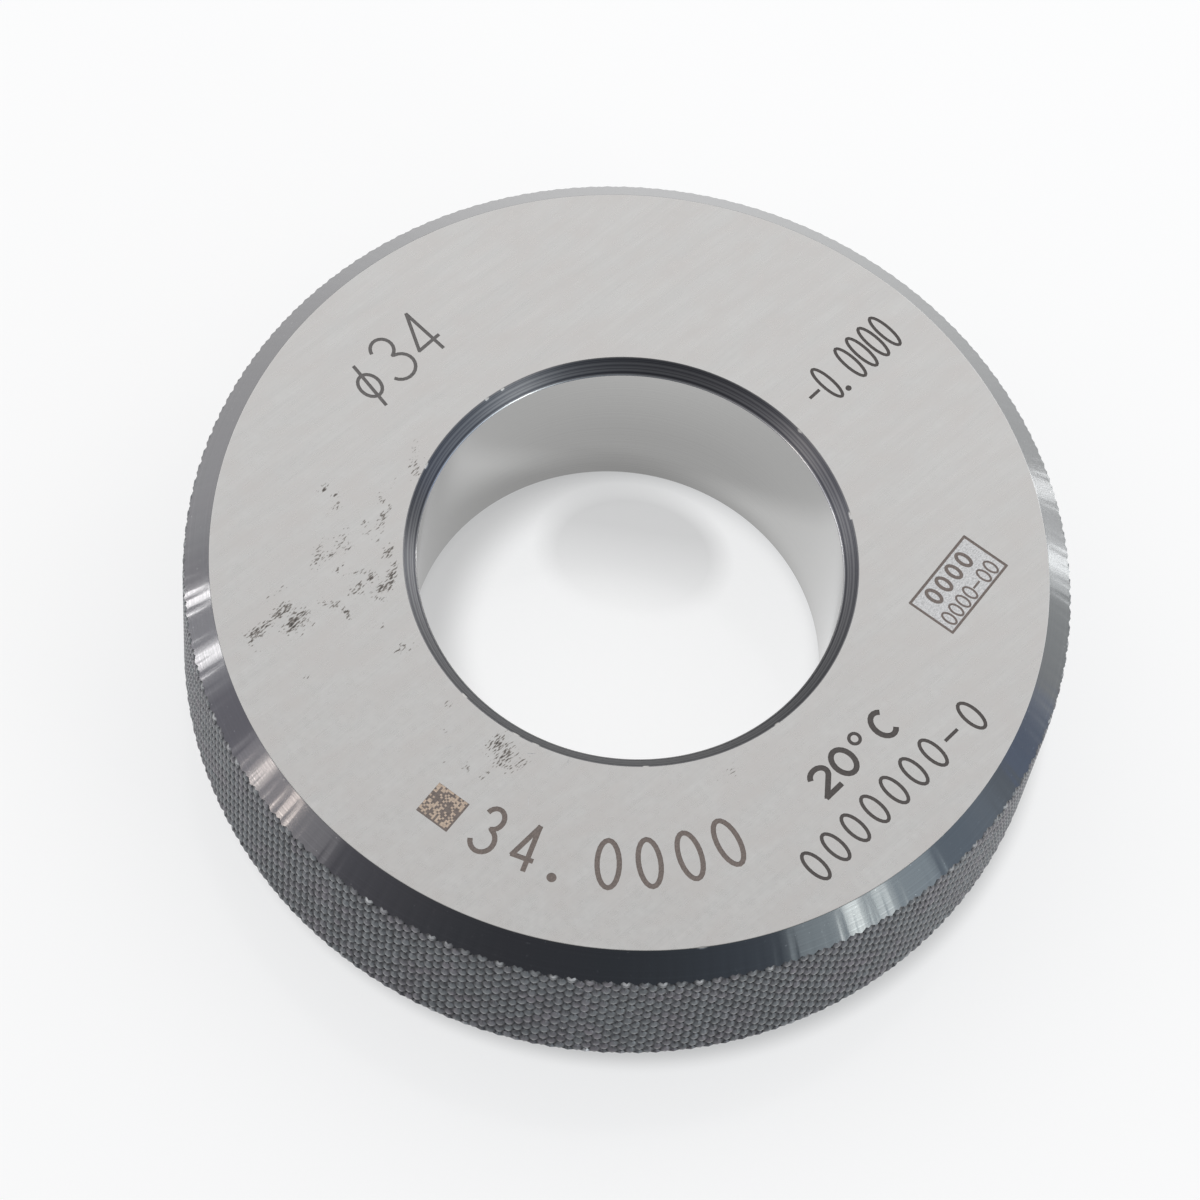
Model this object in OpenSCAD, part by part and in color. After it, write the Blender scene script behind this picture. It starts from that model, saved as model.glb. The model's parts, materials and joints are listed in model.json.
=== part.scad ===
// Setting ring gauge: one hardened steel ring that sets a bore gauge to size.
// It has a lapped bore, two ground faces, turned chamfers and a diamond knurl round the rim.
// The origin is the middle of the lower face, and +Z runs up the axis of the bore.
// All sizes are in millimetres.

/* [Ring] */
// Diameter of the lapped bore, the size that the ring sets
bore_d = 34; // [20:0.5:45]
// Diameter of the rim over the crests of the knurl
rim_d = 71; // [64:1:74]
// Width of the ring between its two ground faces
ring_w = 19; // [12:0.5:20]

/* [Chamfers] */
// Leg of the 45 degree chamfer at each mouth of the bore
bore_chamfer = 1.1; // [0.4:0.1:2]
// Leg of the 45 degree chamfer at each edge of the rim
rim_chamfer = 2.1; // [1:0.1:3.5]

/* [Knurl] */
// Pitch of the diamonds, round the rim and across it
knurl_pitch = 1.6; // [1.6:0.1:3]
// Depth of the knurl from the crests to the valleys
knurl_depth = 0.35; // [0.2:0.05:0.6]

/* [Hidden] */

// Segments in the turned surfaces
turned_fn = 180;
// How far the knurl runs on under the rim chamfer before the stock closes
knurl_runout = 0.1;
// Rise of the stock's conical ends, steeper than the 45 degree chamfer that trims them
end_rise = 1.25;

bore_r = bore_d / 2;
rim_r = rim_d / 2;
valley_r = rim_r - knurl_depth;

// Whole diamonds round the rim, a multiple of four so that a crest faces each of +X, +Y, -X and -Y
diamonds = 4 * round(PI * rim_d / knurl_pitch / 4);
// Each diamond spans two columns and two rows of points, and each row is offset by one column
columns = 2 * diamonds;
knurl_from = rim_chamfer - knurl_depth - knurl_runout;
knurl_h = ring_w - 2 * knurl_from;
rows = 2 * round(knurl_h * diamonds / (PI * rim_d));
row_h = knurl_h / rows;
end_h = end_rise * valley_r;

// Half section of the finished ring, from the bore out to just past the rim
function turned_section(over = 1) = [
    [bore_r, bore_chamfer],
    [bore_r + bore_chamfer, 0],
    [rim_r - rim_chamfer, 0],
    [rim_r + over, rim_chamfer + over],
    [rim_r + over, ring_w - rim_chamfer - over],
    [rim_r - rim_chamfer, ring_w],
    [bore_r + bore_chamfer, ring_w],
    [bore_r, ring_w - bore_chamfer]
];

// A point of the knurl: crests where column and row add up to an even number, valleys between them
function is_crest(column, row) = (column + row) % 2 == 0;
function knurl_point(column, row) =
    let (r = is_crest(column, row) ? rim_r : valley_r, a = 360 * column / columns)
    [r * cos(a), r * sin(a), knurl_from + row * row_h];

// Number of a point in the list, counted along the rows, with the columns closing on themselves
function at(column, row) = row * columns + column % columns;

// Two triangles between neighbouring columns and rows, split along the valley between two crests
function knurl_cell(column, row) =
    let (
        a = at(column, row),
        b = at(column + 1, row),
        c = at(column + 1, row + 1),
        d = at(column, row + 1)
    )
    is_crest(column, row) ? [[a, d, b], [c, b, d]] : [[a, d, c], [a, c, b]];

// Round stock with four-sided pyramids all over its rim and a steep cone at each end
module knurled_stock() {
    last_column = columns - 1;
    lower_tip = (rows + 1) * columns;
    upper_tip = lower_tip + 1;
    rim_points = [for (row = [0 : rows]) for (column = [0 : last_column]) knurl_point(column, row)];
    tips = [[0, 0, knurl_from - end_h], [0, 0, ring_w - knurl_from + end_h]];
    rim_faces = [
        for (row = [0 : rows - 1]) for (column = [0 : last_column]) each knurl_cell(column, row)
    ];
    lower_end = [for (column = [0 : last_column]) [lower_tip, at(column, 0), at(column + 1, 0)]];
    upper_end = [for (column = [0 : last_column]) [upper_tip, at(column + 1, rows), at(column, rows)]];
    polyhedron(points = concat(rim_points, tips), faces = concat(rim_faces, lower_end, upper_end));
}

// The whole gauge: the knurled stock trimmed to the turned section, which leaves a true round bore
module gauge_ring() color("#3a3d42") intersection() {
    rotate_extrude($fn = turned_fn) polygon(turned_section());
    knurled_stock();
}

gauge_ring();
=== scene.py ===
# Setting ring gauge: a knurled steel ring with a marked upper face, on a pale studio floor.
# Settings are in millimetres and degrees unless a note says otherwise. Meshes are in metres.
import json
import math

import bpy
import numpy as np
from mathutils import Matrix, Vector
from mathutils.geometry import delaunay_2d_cdt


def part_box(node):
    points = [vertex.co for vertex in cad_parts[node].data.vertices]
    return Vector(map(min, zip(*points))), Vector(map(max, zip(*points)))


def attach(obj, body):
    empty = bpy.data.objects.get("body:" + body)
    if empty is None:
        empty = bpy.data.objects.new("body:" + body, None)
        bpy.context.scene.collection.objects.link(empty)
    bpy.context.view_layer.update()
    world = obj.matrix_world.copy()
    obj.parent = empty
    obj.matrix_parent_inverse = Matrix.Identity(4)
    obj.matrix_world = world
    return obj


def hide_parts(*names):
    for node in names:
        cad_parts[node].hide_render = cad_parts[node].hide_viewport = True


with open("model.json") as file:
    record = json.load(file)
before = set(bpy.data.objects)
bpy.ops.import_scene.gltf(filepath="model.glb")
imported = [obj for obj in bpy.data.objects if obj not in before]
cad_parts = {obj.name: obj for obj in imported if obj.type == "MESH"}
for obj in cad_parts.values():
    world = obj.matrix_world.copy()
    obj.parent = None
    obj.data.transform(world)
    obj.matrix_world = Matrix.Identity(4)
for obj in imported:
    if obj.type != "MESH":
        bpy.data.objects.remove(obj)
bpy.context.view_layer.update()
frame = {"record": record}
metre = 0.001  # one millimetre in Blender's units
lowCorner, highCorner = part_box("gauge_ring")
boreMount = next(mount for mount in frame["record"]["mounts"] if mount["name"] == "bore")

ring = {
    "rimRadius": (highCorner[0] - lowCorner[0]) / 2 / metre,
    "width": (highCorner[2] - lowCorner[2]) / metre,
    "boreRadius": boreMount["dims"]["r_mm"],
    "boreLength": boreMount["dims"]["length_mm"],  # the round part, between its chamfers
    "rimChamfer": 2.1,
    "edgeRound": 0.04,  # how far from a turned corner its rounding starts
    "lipWidth": 0.09,  # leg of the bright lapped lip at the bore's end
    "diamonds": 158,  # round the rim
    "steps": 6,  # mesh columns and rows across one diamond
    "knurlDepth": 0.35,
    "grooveCurve": 2.5,  # power of the curve across a groove
    "settleRounds": 40,  # rounds of trial in which the knurl's run-out settles
    "crestOval": (0.46, 0.62),  # width and height of a crest's lighter oval, in pitches; round it the colour darkens into the grooves, partly oxide and partly painted shade
    "crease": 38,  # steeper edges than this shade crisply
    "seed": 11,
}
ring["boreChamfer"] = (ring["width"] - ring["boreLength"]) / 2
ring["pitch"] = 2 * math.pi * ring["rimRadius"] / ring["diamonds"]
faceOuter = ring["rimRadius"] - ring["rimChamfer"]
faceInner = ring["boreRadius"] + ring["boreChamfer"]
middle = ring["width"] / 2


# Camera, at the photograph's angle

cameraView = {
    "distance": 359.8,  # from the middle of the upper face
    "elevation": 63.7,
    "roll": 9.5,
    "aside": (2.52, 3.38),  # the ring's middle lies this far right of and above the picture's
    "lens": 136.2,
    "sensor": 36.0,
}


def addCamera(view):
    tilt, roll = math.radians(view["elevation"]), math.radians(view["roll"])
    forward = Vector((0, math.cos(tilt), -math.sin(tilt)))
    level, upward = Vector((1, 0, 0)), Vector((0, math.sin(tilt), math.cos(tilt)))
    right = level * math.cos(roll) + upward * math.sin(roll)
    above = upward * math.cos(roll) - level * math.sin(roll)
    place = Vector((0, 0, ring["width"])) - forward * view["distance"]
    place -= right * view["aside"][0] + above * view["aside"][1]
    data = bpy.data.cameras.new("photoCamera")
    data.lens, data.sensor_width = view["lens"], view["sensor"]
    data.clip_start, data.clip_end = 0.01, 20
    camera = bpy.data.objects.new("photoCamera", data)
    turn = Matrix((right, above, -forward)).transposed().to_4x4()
    camera.matrix_world = Matrix.Translation(place * metre) @ turn
    bpy.context.collection.objects.link(camera)
    bpy.context.scene.camera = camera


addCamera(cameraView)
print("camera placed")


# Turned section and knurl

wear = {
    "rimDents": {"count": 7, "deepest": 0.05},
    "boreDents": {"count": 12, "deepest": 0.07},
    "bareFrom": 0.02,  # a dent this deep shows bright steel
    "dentWidths": (0.12, 0.4),  # narrowest and widest, to each side along the edge
    "dentReach": 0.2,  # how far a dent reaches down its chamfer
    "bareCrests": 0.4,  # share of the crests beside the chamfer that are worn, some more than others
    "barest": 0.6,  # how bare the most worn of them gets
    "belowTip": 0.7,  # share of that which the row below the tip keeps
    "bareReach": 0.16,  # and how far it reaches on to the chamfer
}


# A groove's share of the full depth: a power curve, 1 on its line and 0 midway to the next
# line, so that the crest between two grooves is flat in the middle and softly rounded.
def groove(position):
    return (1 - 2 * np.abs(position - np.round(position))) ** ring["grooveCurve"]


# Depth below the crests: two families of grooves at 45 degrees, of which the deeper counts.
def knurlDepth(angle, away):
    turn = angle * ring["diamonds"] / (2 * math.pi)
    across = away / ring["pitch"]
    rising, falling = groove(turn + across + 0.5), groove(turn - across + 0.5)
    return ring["knurlDepth"] * np.maximum(rising, falling)


# Distance from the middle plane at which the knurl runs into the chamfer's cone: the same
# distance as half the width, less the chamfer, plus the knurl's depth there.
def chamferMeets(angle):
    start = middle - ring["rimChamfer"]
    away = start + np.zeros_like(angle)
    for _ in range(ring["settleRounds"]):
        away = start + knurlDepth(angle, away)
    return away


# Small dents along an edge: a sum of narrow bell curves at random angles.
def dents(angle, radius, chance, count, deepest):
    total = np.zeros_like(angle)
    for _ in range(count):
        place, reach = chance.uniform(0, 2 * math.pi), chance.uniform(*wear["dentWidths"])
        depth = deepest * chance.uniform(0.2, 1) ** 2
        apart = np.angle(np.exp(1j * (angle - place))) * radius
        total += depth * np.exp(-(apart / reach) ** 2)
    return total


# Half of the ring's section for every column, from the middle of the rim over the face to the
# middle of the bore: radius, distance from the middle plane, bare steel, crisp edge or not, and
# the finish between this row and the next.
def halfSection(angle, chance):
    rows = []

    def add(radius, away, finish, bare=0.0, crisp=False):
        rows.append((radius + 0 * angle, away + 0 * angle, bare + 0 * angle, crisp, finish))

    # The last plain row ends at least a quarter of a row short of the chamfer.
    rowHeight = ring["pitch"] / ring["steps"]
    last = int((middle - ring["rimChamfer"]) / rowHeight - 0.25)
    for step in range(last + 1):
        away = step * rowHeight
        add(ring["rimRadius"] - knurlDepth(angle, away), away, "knurl")
    meets = chamferMeets(angle)
    between = (meets + last * rowHeight) / 2
    depth = knurlDepth(angle, meets)
    lot = np.roll(np.repeat(chance.random(ring["diamonds"]), ring["steps"]), -(ring["steps"] // 2))
    worn = np.clip(1 - lot / wear["bareCrests"], 0, wear["barest"])
    bareTips = worn * (1 - depth / ring["knurlDepth"]) ** 2
    belowTips = bareTips * wear["belowTip"]
    add(ring["rimRadius"] - knurlDepth(angle, between), between, "knurl", belowTips)
    add(ring["rimRadius"] - depth, meets, "rimChamfer", bareTips, True)
    reach = wear["bareReach"]
    add(ring["rimRadius"] - depth - reach, meets + reach, "rimChamfer")

    # A turned edge is rounded over three points, and a dent cuts each of them by its own share.
    soft = ring["edgeRound"]
    slope, dip, lean = soft / math.sqrt(2), soft * 0.19, soft * 0.08
    calm = wear["dentReach"]
    add(faceOuter + calm, middle - calm, "rimChamfer")
    cut = dents(angle, faceOuter, chance, **wear["rimDents"])
    bare = np.clip(cut / wear["bareFrom"], 0, 1)
    add(faceOuter + slope + cut * 0.5, middle - slope - cut * 0.5, "rimChamfer", bare, True)
    add(faceOuter - lean - cut * 0.7, middle - dip - cut * 0.7, "face", bare)
    add(faceOuter - soft - cut, middle, "face", bare, True)

    cut = dents(angle, faceInner, chance, **wear["boreDents"])
    bare = np.clip(cut / wear["bareFrom"], 0, 1)
    boreEnd = middle - ring["boreChamfer"]
    add(faceInner + soft + cut, middle, "mouth", bare, True)
    add(faceInner + lean + cut * 0.7, middle - dip - cut * 0.7, "mouth", bare)
    add(faceInner - slope - cut * 0.5, middle - slope - cut * 0.5, "mouth", bare, True)
    add(faceInner - calm, middle - calm, "mouth")
    bright = ring["lipWidth"]
    add(ring["boreRadius"] + bright, boreEnd + bright, "lip", 0, True)
    add(ring["boreRadius"] + slope, boreEnd + slope, "lip", 0, True)
    add(ring["boreRadius"] + dip, boreEnd - lean, "lip")
    add(ring["boreRadius"], boreEnd - soft, "bore", 0, True)
    return rows


# Marks on the upper face: strokes, written along an arc or a line

marks = {
    "depth": 0.02,
    "curveSteps": 22,  # points round a full oval
    "cornerFill": 0.6,  # the most that a stroke runs on at a corner, in half strokes
    "smallRing": 0.6,  # share of the stroke's breadth for the degree sign
    "dot": 1.9,  # a dot's width in strokes
    "scratches": [
        # middle, length, direction, width
        (-5.2, -18.25, 0.6, 5, 0.06), (-2.3, -18.4, 0.7, 84, 0.05), (-4.8, -22.3, 0.8, 95, 0.05),
        (-11.6, -18.9, 0.5, 40, 0.05),
    ],
    "arcs": [
        # text, centre, radius, angle of the first figure, step, height, width, stroke, finish
        ("34.0000", (-0.45, -6.7), 19.8, -110.6, 9.27, 4.35, 0.49, 0.41, "laserBrown"),
    ],
    "lines": [
        # text, middle of the first figure, direction, pitch, height, width, stroke, finish
        ("Ø34", (-23.42, 11.68), 54.3, 3.12, 4.6, 0.55, 0.29, "laserPale"),
        ("-0.0000", (12.52, 17.44), 54.4, 1.39, 3.6, 0.34, 0.27, "laserGrey"),
        ("20°C", (17.54, -16.41), 54.8, 2.3, 2.75, 0.78, 0.46, "laserGrey"),
        ("0000000-0", (17.83, -23.63), 54.8, 2.27, 3.05, 0.49, 0.29, "laserGrey"),
        ("0000", (24.17, 1.05), 61.8, 1.38, 1.7, 0.62, 0.30, "laserBrown"),
        ("0000-00", (25.60, -0.68), 61.8, 0.97, 1.5, 0.57, 0.18, "laserBrown"),
    ],
    "box": {"middle": (25.97, 2.44), "size": (7.8, 4.35), "turn": 61.8, "stroke": 0.22},
    "code": {"middle": (-11.22, -23.94), "size": 2.95, "turn": -28.5, "cells": 18, "filled": 0.52},
}


# An arc of an oval as points, with angles in degrees and anticlockwise.
def oval(cx, cy, rx, ry, start=90.0, end=450.0):
    count = max(4, int(marks["curveSteps"] * abs(end - start) / 360) + 1)
    turn = np.radians(np.linspace(start, end, count))
    return np.stack([cx + rx * np.cos(turn), cy + ry * np.sin(turn)], 1)


def path(*corners):
    return np.array(corners, float)


# Strokes of each figure in a box one unit wide and one high
strokes = {
    "0": [oval(0.5, 0.5, 0.5, 0.5)],
    "2": [np.vstack([oval(0.5, 0.72, 0.48, 0.28, 165, -35), path((0, 0), (1, 0))])],
    "3": [np.vstack([oval(0.45, 0.77, 0.42, 0.23, 165, -75), oval(0.46, 0.27, 0.54, 0.27, 75, -160)])],
    "4": [path((0.72, 0), (0.72, 1), (0, 0.27), (1, 0.27))],
    "-": [path((-0.22, 0.5), (1.0, 0.5))],
    ".": [],  # a disc
    "°": [oval(0.35, 0.82, 0.26, 0.2)],
    "C": [oval(0.5, 0.5, 0.5, 0.5, 50, 310)],
    "Ø": [oval(0.5, 0.38, 0.38, 0.26), path((0.36, -0.13), (0.62, 0.89))],
}


# A stroke as rectangles, one for each piece between two points. At a corner each runs on by
# half its width times the tangent of half the turn, so that the corner is filled.
def bars(points, width):
    along = np.diff(points, axis=0)
    along /= np.linalg.norm(along, axis=1)[:, None]
    closed = np.allclose(points[0], points[-1])
    before = np.vstack([along[-1:] if closed else along[:1], along])
    after = np.vstack([along, along[:1] if closed else along[-1:]])
    halfTurn = np.arccos(np.clip(np.sum(before * after, axis=1), -1, 1)) / 2
    further = (np.minimum(np.tan(halfTurn), marks["cornerFill"]) * width / 2)[:, None]
    start, end = points[:-1] - along * further[:-1], points[1:] + along * further[1:]
    across = np.stack([-along[:, 1], along[:, 0]], 1) * width / 2
    return np.stack([start - across, end - across, end + across, start + across], 1)


# Collects flat shapes for the face: points, and polygons with a finish each.
class Drawing:
    def __init__(self):
        self.points, self.shapes, self.finishes = [], [], []

    def polygon(self, corners, finish):
        first = len(self.points)
        self.points += [tuple(corner) for corner in corners]
        self.shapes.append(list(range(first, len(self.points))))
        self.finishes.append(finish)

    def stroke(self, points, width, finish):
        for corners in bars(points, width):
            self.polygon(corners, finish)

    # A figure with its middle at a place, its own right and up given as directions.
    def figure(self, letter, place, right, up, height, width, stroke, finish):
        inner = np.array([height * width - stroke, height - stroke])
        breadth = stroke * (marks["smallRing"] if letter == "°" else 1)
        for line in strokes[letter]:
            local = (line - 0.5) * inner
            self.stroke(place + local[:, :1] * right + local[:, 1:] * up, breadth, finish)
        if letter == ".":
            disc = oval(0, 0, marks["dot"] / 2, marks["dot"] / 2)[:-1] * stroke
            self.polygon(place - up * (height / 2 - stroke) - right * inner[0] * 0.5 + disc, finish)


def direction(angle):
    return np.array([math.cos(math.radians(angle)), math.sin(math.radians(angle))])


def drawMarks():
    drawing = Drawing()
    for text, centre, radius, first, step, height, width, stroke, finish in marks["arcs"]:
        for k, letter in enumerate(text):
            out = direction(first + k * step)
            right, place = np.array([-out[1], out[0]]), np.array(centre) + out * radius
            drawing.figure(letter, place, right, -out, height, width, stroke, finish)
    for text, start, turn, pitch, height, width, stroke, finish in marks["lines"]:
        right, up = direction(turn), direction(turn + 90)
        for k, letter in enumerate(text):
            place = np.array(start) + right * pitch * k
            drawing.figure(letter, place, right, up, height, width, stroke, finish)
    for x, y, length, turn, width in marks["scratches"]:
        half = direction(turn) * length / 2
        drawing.stroke(np.array([(x, y) - half, (x, y) + half]), width, "laserClean")
    drawFrame(drawing, **marks["box"])
    drawCode(drawing, **marks["code"])
    return drawing


def drawFrame(drawing, middle, size, turn, stroke):
    right, up = direction(turn), direction(turn + 90)
    outline = np.array([(-1, -1), (1, -1), (1, 1), (-1, 1), (-1, -1)]) * (np.array(size) - stroke) / 2
    corners = np.array(middle) + outline[:, :1] * right + outline[:, 1:] * up
    drawing.polygon(corners[:4], "laserClean")
    drawing.stroke(corners, stroke, "laserBrown")


# A square of random cells on a tan ground, with two full sides and a share of the rest filled.
def drawCode(drawing, middle, size, turn, cells, filled):
    chance = np.random.default_rng(ring["seed"] + 5)
    right, up = direction(turn), direction(turn + 90)
    edge = size / cells
    dark = chance.random((cells, cells)) < filled
    dark[0, :] = dark[:, -1] = True
    origin = np.array(middle) - (right + up) * size / 2

    def corner(column, row):
        return origin + right * column * edge + up * row * edge

    whole = [corner(0, 0), corner(cells, 0), corner(cells, cells), corner(0, cells)]
    drawing.polygon(whole, "laserTan")
    for row, column in np.argwhere(dark):
        spots = [(column, row), (column + 1, row), (column + 1, row + 1), (column, row + 1)]
        drawing.polygon([corner(*spot) for spot in spots], "laserBrown")


# Stains on the upper face: place, length, breadth and direction of each patch, and its strength

stains = [
    (-18.2, 4.7, 1.3, 0.35, 100, 0.8), (-19.4, 3.6, 0.3, 0.25, 150, 0.7),
    (-25.0, 1.6, 0.35, 0.25, 40, 1.0), (-24.0, 1.0, 0.35, 0.22, 50, 1.0),
    (-23.8, 0.2, 0.4, 0.25, 60, 0.9), (-24.3, -0.8, 0.2, 0.12, 90, 0.7),
    (-20.5, 1.6, 0.45, 0.25, 125, 0.7), (-19.6, 0.9, 0.16, 0.16, 0, 1.0),
    (-20.0, -0.4, 1.5, 0.3, 85, 0.8), (-21.3, -0.9, 0.22, 0.22, 0, 0.9),
    (-21.0, -1.9, 0.3, 0.2, 30, 0.8), (-22.7, -1.6, 0.45, 0.12, 58, 0.8),
    (-22.9, -2.8, 0.5, 0.4, 60, 0.8), (-22.2, -3.4, 0.35, 0.2, 20, 0.9),
    (-23.5, -4.1, 0.45, 0.3, 30, 0.9), (-24.4, -4.5, 0.9, 0.3, 85, 0.9),
    (-19.0, -3.1, 0.5, 0.3, 75, 1.0), (-22.6, -5.15, 0.4, 0.12, 55, 1.3),
    (-20.9, -5.3, 0.8, 0.25, 12, 0.8), (-20.0, -5.5, 0.35, 0.22, 60, 1.15),
    (-18.4, -5.2, 0.9, 0.28, 85, 1.1), (-18.9, -6.3, 0.5, 0.35, 60, 1.15),
    (-19.1, -7.2, 0.6, 0.14, 0, 0.9), (-20.8, -6.7, 0.6, 0.4, 45, 0.9),
    (-23.3, -8.5, 0.35, 0.25, 20, 0.8), (-22.3, -8.4, 0.5, 0.25, 10, 1.0),
    (-21.4, -8.9, 0.45, 0.16, 130, 1.25), (-27.0, -8.2, 0.9, 0.16, 45, 0.7),
    (-26.1, -9.4, 0.5, 0.35, 30, 1.1), (-26.6, -10.1, 0.4, 0.25, 45, 1.1),
    (-27.5, -11.2, 0.8, 0.25, 45, 1.05), (-27.0, -11.5, 0.5, 0.2, 40, 0.7),
    (-28.0, -12.0, 0.5, 0.3, 30, 1.2), (-28.15, -12.8, 0.3, 0.14, 80, 1.0),
    (-27.6, -13.6, 0.2, 0.12, 90, 0.6), (-25.2, -10.4, 0.8, 0.5, 60, 1.15),
    (-24.7, -9.8, 0.5, 0.3, 45, 1.0), (-25.4, -11.2, 0.4, 0.3, 60, 1.0),
    (-24.3, -10.5, 0.5, 0.2, 10, 0.9), (-24.4, -11.4, 0.3, 0.12, 45, 0.7),
    (-18.5, -9.8, 0.4, 0.12, 68, 0.8), (-16.7, -11.2, 0.5, 0.15, 55, 1.1),
    (-15.9, -11.0, 0.5, 0.12, 55, 0.8), (-23.4, -15.0, 0.28, 0.14, 20, 0.9),
    (-21.9, -15.2, 0.14, 0.08, 0, 0.8), (-14.1, -14.1, 0.16, 0.12, 20, 1.0),
    (-12.3, -15.3, 0.2, 0.14, 60, 1.1), (-12.1, -17.4, 0.22, 0.12, 75, 1.0),
    (-12.8, -17.8, 0.35, 0.08, 45, 0.6), (-12.9, -19.0, 0.16, 0.12, 0, 0.7),
    (-11.8, -20.2, 0.2, 0.12, 60, 0.8), (-12.2, -20.6, 0.18, 0.1, 45, 0.8),
    (-10.0, -20.4, 0.45, 0.18, 58, 0.9), (-8.5, -20.7, 0.3, 0.2, 62, 1.0),
    (-6.7, -21.9, 0.14, 0.14, 0, 0.6), (-7.9, -17.9, 0.65, 0.5, 45, 1.1),
    (-7.1, -18.7, 0.65, 0.4, 70, 1.1), (-7.5, -19.5, 0.35, 0.25, 50, 1.0),
    (-6.2, -19.3, 0.7, 0.4, 40, 0.9), (10.2, -17.0, 0.75, 0.35, 55, 0.6),
]
stainGrid = {
    "softness": 3.6,  # the larger, the wider each patch fades out
    "spacing": 0.3,  # of the mesh points in and near the patches
    "reach": 3.4,  # how far they go, in lengths and breadths of a patch
    "slant": 0.37,  # sideways shift from one row of points to the next, in spacings
    "shift": 0.013,  # keeps the points off the marks' own lines
    "margin": 0.5,  # between them and the face's edges
}


# How stained each point is: the strongest of all patches, each a bell curve in its own frame.
def stainAt(points):
    most = np.zeros(len(points))
    for x, y, length, breadth, turn, strength in stains:
        right, up = direction(turn), direction(turn + 90)
        local = points - np.array([x, y])
        square = (local @ right / length) ** 2 + (local @ up / breadth) ** 2
        most = np.maximum(most, strength * np.exp(-square / stainGrid["softness"]))
    return most


# Loose mesh points near the stains, on a slanted grid, kept clear of the face's own edges.
def stainPoints():
    spacing, reach = stainGrid["spacing"], stainGrid["reach"]
    across = np.arange(-faceOuter, faceOuter, spacing)
    x, y = np.meshgrid(across, across)
    x, y = x.ravel(), y.ravel()
    grid = np.stack([x + stainGrid["slant"] * y, y + stainGrid["shift"]], 1)
    near = np.zeros(len(grid), bool)
    for sx, sy, length, breadth, turn, _ in stains:
        right, up = direction(turn), direction(turn + 90)
        local = grid - np.array([sx, sy])
        near |= (np.abs(local @ right) < length * reach) & (np.abs(local @ up) < breadth * reach)
    radius, margin = np.linalg.norm(grid, axis=1), stainGrid["margin"]
    return grid[near & (radius > faceInner + margin) & (radius < faceOuter - margin)]


# In the order of the mesh's material slots. Where marks overlap, the later of them shows.
finishNames = [
    "face", "rimChamfer", "knurl", "mouth", "lip", "bore",
    "laserClean", "laserTan", "laserBrown", "laserPale", "laserGrey",
]


# The upper face between two loops of points, cut into triangles round the marks. Gives the new
# points, the triangles, numbered with the outer loop first and then the inner, and their slots.
def upperFace(outerLoop, innerLoop):
    drawing = drawMarks()
    columns = len(outerLoop)
    outline = [tuple(point) for point in outerLoop] + [tuple(point) for point in innerLoop]
    loose = [tuple(point) for point in stainPoints()]
    first = len(outline)
    shapes = [list(range(columns)), list(range(columns, first))]
    shapes += [[corner + first for corner in shape] for shape in drawing.shapes]
    corners = [Vector(point) for point in outline + drawing.points + loose]
    points, _, triangles, origins, _, shapeOrigins = delaunay_2d_cdt(corners, [], shapes, 0, 1e-6)
    source = np.array([min(sources, default=first) for sources in origins])
    fresh = source >= first
    numbers = np.where(fresh, first + np.cumsum(fresh) - 1, source)
    kept = np.array([0 in sources and 1 not in sources for sources in shapeOrigins])
    slots = [0, 0] + [finishNames.index(finish) for finish in drawing.finishes]
    shown = np.array([max((slots[k] for k in sources), default=0) for sources in shapeOrigins])
    points = np.array([tuple(point) for point in points])
    return points[fresh], numbers[np.array(triangles)[kept]], shown[kept]


# Sinks the marked triangles into the face: they get their own lowered points, and a wall
# along each edge of a mark.
def sinkMarks(points, triangles, sunken, depth):
    marked = triangles[sunken]
    used = np.unique(marked)
    lower = np.zeros(len(points), int)
    lower[used] = len(points) + np.arange(len(used))
    triangles[sunken] = lower[marked]
    edges = np.vstack([marked[:, [0, 1]], marked[:, [1, 2]], marked[:, [2, 0]]])
    code = edges[:, 0] * len(points) + edges[:, 1]
    reverse = edges[:, 1] * len(points) + edges[:, 0]
    outer = ~np.isin(code, reverse)
    start, end = edges[outer].T
    walls = np.stack([start, end, lower[end], lower[start]], 1)
    owner = np.tile(np.flatnonzero(sunken), 3)[outer]
    return used, triangles, walls, owner


# Puts points and polygons into a mesh. Each group of polygons is an array of corner numbers,
# and has one finish or a finish for each polygon.
def makeMesh(name, points, groups, finishes):
    mesh = bpy.data.meshes.new(name)
    sizes = np.concatenate([np.full(len(group), group.shape[1]) for group in groups])
    corners = np.concatenate([group.ravel() for group in groups])
    slots = np.concatenate([np.zeros(len(group), int) + slot for group, slot in zip(groups, finishes)])
    mesh.vertices.add(len(points))
    mesh.loops.add(len(corners))
    mesh.polygons.add(len(sizes))
    mesh.vertices.foreach_set("co", (points * metre).ravel())
    mesh.loops.foreach_set("vertex_index", corners)
    mesh.polygons.foreach_set("loop_start", np.cumsum(sizes) - sizes)
    mesh.polygons.foreach_set("material_index", slots)
    mesh.polygons.foreach_set("use_smooth", np.ones(len(sizes), bool))
    mesh.update(calc_edges=True)
    mesh.validate()
    return mesh


# Marks the edges that shade crisply: those between faces at a steep angle, and the rows' own.
def markSharp(mesh, rowOf, crispRows):
    mesh.set_sharp_from_angle(angle=math.radians(ring["crease"]))
    ends = np.zeros(2 * len(mesh.edges), int)
    mesh.edges.foreach_get("vertices", ends)
    first, second = rowOf[ends].reshape(-1, 2).T
    sharp = np.zeros(len(mesh.edges), bool)
    mesh.edges.foreach_get("use_edge_sharp", sharp)
    mesh.edges.foreach_set("use_edge_sharp", sharp | ((first == second) & crispRows[first]))


def addAttribute(mesh, name, values):
    layer = mesh.attributes.new(name, "FLOAT", "POINT")
    layer.data.foreach_set("value", values.astype(np.float32))


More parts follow.
